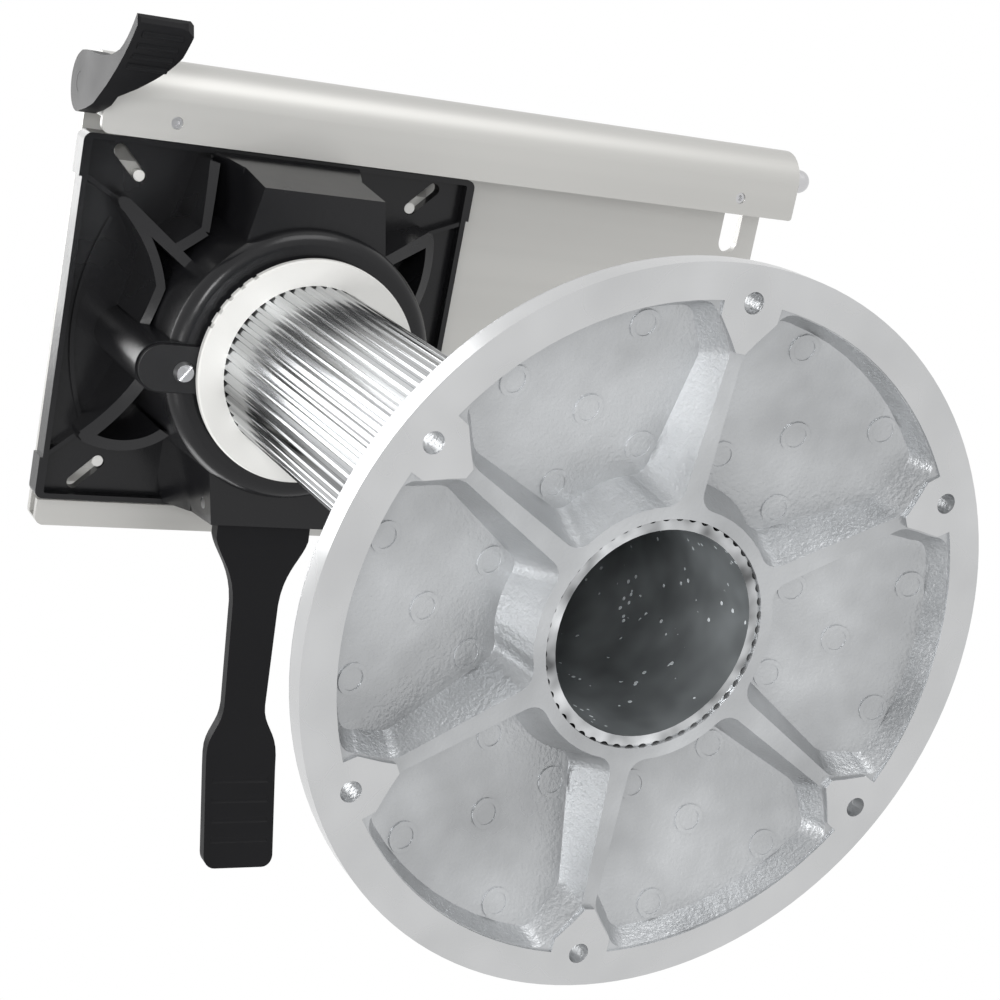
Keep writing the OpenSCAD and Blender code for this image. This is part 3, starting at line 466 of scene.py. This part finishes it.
def rounded_copy(node: str, width: float, segments: int, angle: float = 24.0) -> bpy.types.Mesh:
    """Copy a CAD node's mesh, merge its loose triangles and round its sharp edges.

    Args:
        node: The CAD node.
        width: Width of the rounding, in metres.
        segments: Facets across a rounding.
        angle: Edges sharper than this, in degrees, are rounded.

    Returns:
        The new mesh.
    """
    bm = bmesh.new()
    bm.from_mesh(frame["nodes"][node].data)
    bmesh.ops.remove_doubles(bm, verts=bm.verts, dist=MERGE_DISTANCE)
    bmesh.ops.dissolve_degenerate(bm, edges=bm.edges, dist=MERGE_DISTANCE)
    bmesh.ops.dissolve_limit(bm, angle_limit=math.radians(FLAT_ANGLE), verts=bm.verts, edges=bm.edges)
    mesh = bpy.data.meshes.new(node + "_rounded")
    bm.to_mesh(mesh)
    bm.free()
    temp = bpy.data.objects.new("rounding", mesh)
    bpy.context.scene.collection.objects.link(temp)
    bevel = temp.modifiers.new("round", "BEVEL")
    bevel.width = width
    bevel.segments = segments
    bevel.limit_method = "ANGLE"
    bevel.angle_limit = math.radians(angle)
    bevel.harden_normals = False
    bevel.miter_outer = "MITER_ARC"
    done = baked(temp)
    smooth(done, ROUNDED_SHARP_ANGLE)
    temp.data = done
    even = temp.modifiers.new("even", "WEIGHTED_NORMAL")
    even.keep_sharp = True
    level = baked(temp)
    bpy.data.objects.remove(temp)
    level.materials.clear()
    return level


def smooth(mesh: bpy.types.Mesh, angle: float) -> None:
    """Shade a mesh smooth, with sharp edges past an angle in degrees."""
    mesh.shade_smooth()
    mesh.set_sharp_from_angle(angle=math.radians(angle))


# Geometry nodes


class NodeShape:
    """A Geometry Nodes tree that makes one piece, with named inputs for its sizes."""

    def __init__(self, name: str, sizes: dict[str, float]) -> None:
        """Start the tree.

        Args:
            name: Name of the tree.
            sizes: Named float inputs with their values.
        """
        self.name = name
        self.sizes = sizes
        self.tree = bpy.data.node_groups.new(name, "GeometryNodeTree")
        self.tree.interface.new_socket("Geometry", in_out="INPUT", socket_type="NodeSocketGeometry")
        self.ids: dict[str, str] = {}
        for key in sizes:
            whole = isinstance(sizes[key], int)
            kind = "NodeSocketInt" if whole else "NodeSocketFloat"
            self.ids[key] = self.tree.interface.new_socket(key, in_out="INPUT", socket_type=kind).identifier
        self.ids["Material"] = self.tree.interface.new_socket(
            "Material", in_out="INPUT", socket_type="NodeSocketMaterial").identifier
        self.tree.interface.new_socket("Geometry", in_out="OUTPUT", socket_type="NodeSocketGeometry")
        self.start = self.tree.nodes.new("NodeGroupInput")
        self.end = self.tree.nodes.new("NodeGroupOutput")

    def add(self, kind: str, inputs: Optional[dict[str, object]] = None,
            **settings: object) -> bpy.types.Node:
        """Add a node.

        Args:
            kind: Node type.
            inputs: Values or sockets for its inputs, by name or by index as text.
            settings: Attributes of the node.

        Returns:
            The node.
        """
        node = self.tree.nodes.new(kind)
        for key, value in settings.items():
            setattr(node, key, value)
        for key, value in (inputs or {}).items():
            socket = node.inputs[int(key)] if key.isdigit() else node.inputs[key]
            if isinstance(value, bpy.types.NodeSocket):
                self.tree.links.new(value, socket)
            else:
                socket.default_value = value
        return node

    def size(self, key: str) -> bpy.types.NodeSocket:
        """Give the socket of a named input."""
        return self.start.outputs[key]

    def math(self, operation: str, a: object, b: object = 0.0) -> bpy.types.NodeSocket:
        """Add a Math node and give its output."""
        return self.add("ShaderNodeMath", {"0": a, "1": b}, operation=operation).outputs[0]

    def mesh(self, geometry: bpy.types.NodeSocket, mat: bpy.types.Material) -> bpy.types.Mesh:
        """End the tree, run it and give a plain mesh.

        Args:
            geometry: The geometry to put out.
            mat: The piece's material.

        Returns:
            The mesh.
        """
        real = self.add("GeometryNodeRealizeInstances", {"Geometry": geometry})
        dress = self.add("GeometryNodeSetMaterial",
                         {"Geometry": real.outputs[0], "Material": self.size("Material")})
        self.tree.links.new(dress.outputs[0], self.end.inputs[0])
        temp = bpy.data.objects.new(self.name, bpy.data.meshes.new(self.name))
        bpy.context.scene.collection.objects.link(temp)
        modifier = temp.modifiers.new(self.name, "NODES")
        modifier.node_group = self.tree
        for key, value in self.sizes.items():
            modifier[self.ids[key]] = value
        modifier[self.ids["Material"]] = mat
        done = baked(temp)
        bpy.data.objects.remove(temp)
        return done


# The pieces


@dataclass
class SubAssembly:
    """Shared part of every sub-assembly: its body and the materials."""

    box: Paintbox
    body: Body = Body.BASE

    def dress(self, finish: Finish, *nodes: str) -> None:
        """Give carried-over CAD nodes a finish.

        Args:
            finish: The finish.
            nodes: The nodes.
        """
        for node in nodes:
            paint(frame["nodes"][node], [self.box.get(finish)])
            LOG.info("%s: CAD node in %s", node, finish.name)

    def round_off(self, node: str, finish: Finish, width: float, segments: int = 2,
                  angle: float = 24.0) -> bpy.types.Object:
        """Replace a CAD node by a copy with rounded edges.

        Args:
            node: The node.
            finish: Its finish.
            width: Width of the rounding, in metres.
            segments: Facets across a rounding.
            angle: Edges sharper than this, in degrees, are rounded.

        Returns:
            The new piece.
        """
        mesh = rounded_copy(node, width, segments, angle)
        return new_piece(node + "_finished", mesh, self.body, finish, self.box, [node])


@dataclass
class Foot(SubAssembly):
    """The round ribbed base."""

    edge: float = 0.8 * MM
    facing_down: float = -0.98
    machined_depth: float = 0.3 * MM
    turned_width: float = 3.2 * MM
    turned_height: float = 4.5 * MM

    def build(self) -> None:
        """Round the casting's edges and mark its machined faces and turned edge."""
        piece = self.round_off("base_casting", CAST_ALUMINIUM, self.edge)
        piece.data.materials.append(self.box.get(MACHINED_RIM))
        low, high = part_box("base_casting")
        turned_from = (high.x - low.x) / 2 - self.turned_width
        for face in piece.data.polygons:
            machined = face.normal.z < self.facing_down and face.center.z < self.machined_depth
            turned = face.center.xy.length > turned_from and face.center.z < self.turned_height
            if machined or turned:
                face.material_index = 1


@dataclass
class Post(SubAssembly):
    """The fluted tube with its bushing and thrust disc."""

    inward: float = -0.5

    def build(self) -> None:
        """Dress the tube, its bore, bushing and disc."""
        self.dress(BRIGHT_POST, "post_tube")
        tube = frame["nodes"]["post_tube"]
        tube.data.materials.append(self.box.get(POST_BORE))
        for face in tube.data.polygons:
            centre, normal = face.center, face.normal
            if centre.xy.dot(normal.xy) < self.inward * centre.xy.length:
                face.material_index = 1
        self.dress(WHITE_NYLON, "swivel_bushing", "thrust_disc")


@dataclass
class Mount(SubAssembly):
    """The black casting, its tab and what is fixed to it."""

    body: Body = Body.MOUNT
    edge: float = 0.9 * MM

    def build(self) -> None:
        """Round the casting and dress the rest."""
        self.round_off("swivel_housing", BLACK_COAT, self.edge, 3)
        self.dress(BLACK_PLATE, "retainer_tab")
        self.dress(STAINLESS, "retainer_screw", "lever_pin", "carriage_screws", "lock_rack", "rack_screws")
        self.dress(SATIN_SLIDE, "slide_plate")
        self.dress(WHITE_NYLON, "locating_pegs", "glide_flat", "glide_tall", "glide_top")


@dataclass
class Spring(SubAssembly):
    """The coil round the lever's pivot pin."""

    body: Body = Body.MOUNT
    turns: int = 6
    wire_r: float = 0.66 * MM
    steps: int = 28
    sides: int = 10

    def build(self) -> None:
        """Make the coil from a spiral inside the node's box."""
        low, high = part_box("lever_spring")
        radius = (high.z - low.z) / 2 - self.wire_r
        length = high.y - low.y - 2 * self.wire_r
        shape = NodeShape("coil", {"Radius": radius, "Length": length, "Wire": self.wire_r,
                                   "Turns": float(self.turns - 1)})
        spiral = shape.add("GeometryNodeCurveSpiral", {
            "Resolution": self.steps, "Rotations": shape.size("Turns"),
            "Start Radius": shape.size("Radius"), "End Radius": shape.size("Radius"),
            "Height": shape.size("Length")})
        wire = shape.add("GeometryNodeCurvePrimitiveCircle",
                         {"Resolution": self.sides, "Radius": shape.size("Wire")})
        tube = shape.add("GeometryNodeCurveToMesh", {"Curve": spiral.outputs[0],
                                                     "Profile Curve": wire.outputs[0], "Fill Caps": True})
        lay = shape.add("GeometryNodeTransform", {
            "Geometry": tube.outputs[0], "Rotation": (-math.pi / 2, 0.0, 0.0),
            "Translation": ((low.x + high.x) / 2, low.y + self.wire_r, (low.z + high.z) / 2)})
        mesh = shape.mesh(lay.outputs[0], self.box.get(STAINLESS))
        smooth(mesh, 60.0)
        new_piece("coil_spring", mesh, self.body, STAINLESS, self.box, ["lever_spring"])


@dataclass
class SwivelLock(SubAssembly):
    """The swivel lever and the pin that it pushes."""

    body: Body = Body.SWIVEL_LEVER
    edge: float = 1.2 * MM

    def build(self) -> None:
        """Round the lever and dress the pin."""
        self.round_off("swivel_lever", BLACK_NYLON, self.edge, 3)
        self.dress(STAINLESS, "lock_pin")


@dataclass
class Slide(SubAssembly):
    """The seat plate and its nylon blocks."""

    body: Body = Body.SEAT_SLIDE
    edge: float = 0.5 * MM

    def build(self) -> None:
        """Round the extrusion and dress the blocks and screws."""
        self.round_off("seat_plate", SATIN_SLIDE, self.edge, 2, 40.0)
        self.dress(WHITE_NYLON, "bearing_front", "bearing_rear", "slide_stop")
        self.dress(STAINLESS, "adjuster_screws")


@dataclass
class SlideLock(SubAssembly):
    """The rod, its lever and the dog."""

    body: Body = Body.SLIDE_LEVER
    edge: float = 1.0 * MM
    disc_gap: float = 0.05 * MM
    disc_share: float = 0.8
    disc_sides: int = 48

    def build(self) -> None:
        """Round the lever and dress the steel parts."""
        self.round_off("slide_lever", BLACK_NYLON, self.edge, 3)
        self.close_hub()
        self.dress(STAINLESS, "lock_rod", "lock_dog", "rod_cap", "lever_roll_pin")

    def close_hub(self) -> None:
        """Close the lever's hub with a thin disc in front of the rod's end."""
        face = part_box("slide_lever")[0].y
        low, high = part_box("lock_rod")
        depth = low.y - face
        shape = NodeShape("closing_disc", {"Radius": (high.x - low.x) / 2 - self.disc_gap,
                                           "Depth": depth * self.disc_share})
        disc = shape.add("GeometryNodeMeshCylinder", {
            "Vertices": self.disc_sides, "Radius": shape.size("Radius"), "Depth": shape.size("Depth")})
        lay = shape.add("GeometryNodeTransform", {
            "Geometry": disc.outputs[0], "Rotation": (math.pi / 2, 0.0, 0.0),
            "Translation": ((low.x + high.x) / 2, face + depth / 2, (low.z + high.z) / 2)})
        mesh = shape.mesh(lay.outputs[0], self.box.get(BLACK_NYLON))
        smooth(mesh, 40.0)
        new_piece("lever_hub_face", mesh, self.body, BLACK_NYLON, self.box)


# The studio


@dataclass(frozen=True)
class SoftBox:
    """A square lamp that points at the part."""

    name: str
    place: Place
    size: float
    power: float


@dataclass
class Studio:
    """Camera, floor, world and lamps."""

    eye: Vector = field(default_factory=lambda: Vector((0.1977, -0.3433, -0.5025)))
    right: Vector = field(default_factory=lambda: Vector((0.1882, 0.8817, -0.4326)))
    up: Vector = field(default_factory=lambda: Vector((0.9463, -0.0449, 0.3202)))
    lens: float = 77.66
    floor_z: float = -0.0006
    floor_half: float = 3.0
    floor_tone: float = 0.86
    floor_roughness: float = 0.9
    soft_light: float = 0.42
    seen_light: float = 1.0
    aim: Vector = field(default_factory=lambda: Vector((0.0, 0.02, 0.2)))
    soft_boxes: tuple[SoftBox, ...] = (
        SoftBox("key", (-0.5, -1.5, -0.9), 0.9, 17.0),
        SoftBox("fill", (1.6, 0.4, -0.5), 1.0, 10.0),
        SoftBox("over", (0.3, -0.6, 1.8), 1.2, 16.0),
        SoftBox("side", (-1.7, -0.3, 0.7), 1.0, 11.0),
        SoftBox("front", (0.42, -0.62, -0.95), 0.3, 6.0),
    )

    def build(self) -> None:
        """Make everything round the object."""
        self.camera()
        self.floor()
        self.world()
        self.lamps()
        bpy.context.scene.view_settings.view_transform = "Standard"

    def camera(self) -> None:
        """Place the camera as the photograph was taken, low and close, with the foot towards it."""
        data = bpy.data.cameras.new("camera")
        data.lens = self.lens
        data.sensor_width = 36.0
        data.clip_start = 0.01
        cam = bpy.data.objects.new("camera", data)
        back = self.right.cross(self.up)
        turn = Matrix((self.right, self.up, back)).transposed().to_4x4()
        cam.matrix_world = Matrix.Translation(self.eye) @ turn
        bpy.context.scene.collection.objects.link(cam)
        bpy.context.scene.camera = cam

    def floor(self) -> None:
        """Lay a pale floor that is clear from below and throws no light or shade there."""
        mesh = bpy.data.meshes.new("floor")
        half = self.floor_half
        corners = [(-half, -half), (half, -half), (half, half), (-half, half)]
        mesh.from_pydata([(x, y, self.floor_z) for x, y in corners], [], [(0, 1, 2, 3)])
        obj = bpy.data.objects.new("floor", mesh)
        bpy.context.scene.collection.objects.link(obj)
        for attribute in ("visible_diffuse", "visible_glossy", "visible_transmission", "visible_shadow"):
            setattr(obj, attribute, False)
        mat = bpy.data.materials.new("pale_floor")
        mat.use_nodes = True
        tree = mat.node_tree
        shader = tree.nodes["Principled BSDF"]
        shader.inputs["Base Color"].default_value = (*[self.floor_tone] * 3, 1.0)
        shader.inputs["Roughness"].default_value = self.floor_roughness
        clear = tree.nodes.new("ShaderNodeBsdfTransparent")
        side = tree.nodes.new("ShaderNodeNewGeometry")
        mix = tree.nodes.new("ShaderNodeMixShader")
        tree.links.new(side.outputs["Backfacing"], mix.inputs[0])
        tree.links.new(shader.outputs[0], mix.inputs[1])
        tree.links.new(clear.outputs[0], mix.inputs[2])
        tree.links.new(mix.outputs[0], tree.nodes["Material Output"].inputs["Surface"])
        mesh.materials.append(mat)

    def world(self) -> None:
        """White to the camera, to mirrors and through glass; a soft grey light otherwise."""
        world = bpy.data.worlds.new("studio")
        bpy.context.scene.world = world
        world.use_nodes = True
        tree = world.node_tree
        shade = tree.nodes["Background"]
        path = tree.nodes.new("ShaderNodeLightPath")
        seen = path.outputs["Is Camera Ray"]
        for ray in ("Is Glossy Ray", "Is Transmission Ray"):
            either = tree.nodes.new("ShaderNodeMath")
            either.operation = "MAXIMUM"
            tree.links.new(seen, either.inputs[0])
            tree.links.new(path.outputs[ray], either.inputs[1])
            seen = either.outputs[0]
        level = tree.nodes.new("ShaderNodeMapRange")
        level.inputs["To Min"].default_value = self.soft_light
        level.inputs["To Max"].default_value = self.seen_light
        tree.links.new(seen, level.inputs["Value"])
        tree.links.new(level.outputs["Result"], shade.inputs["Strength"])
        shade.inputs["Color"].default_value = (1.0, 1.0, 1.0, 1.0)

    def lamps(self) -> None:
        """Soft boxes: a big one and a small one by the camera, one on each side and one above."""
        for box in self.soft_boxes:
            data = bpy.data.lights.new(box.name, "AREA")
            data.shape = "SQUARE"
            data.size = box.size
            data.energy = box.power
            lamp = bpy.data.objects.new(box.name, data)
            lamp.location = box.place
            lamp.rotation_mode = "QUATERNION"
            lamp.rotation_quaternion = (self.aim - Vector(box.place)).to_track_quat("-Z", "Y")
            bpy.context.scene.collection.objects.link(lamp)


def main() -> None:
    """Build the sub-assemblies in order, then the studio."""
    logging.basicConfig(level=logging.INFO, format="%(name)s: %(message)s")
    box = Paintbox()
    for maker in (Foot, Post, Mount, Spring, SwivelLock, Slide, SlideLock):
        maker(box).build()
    Studio().build()


if __name__ == "__main__":
    main()
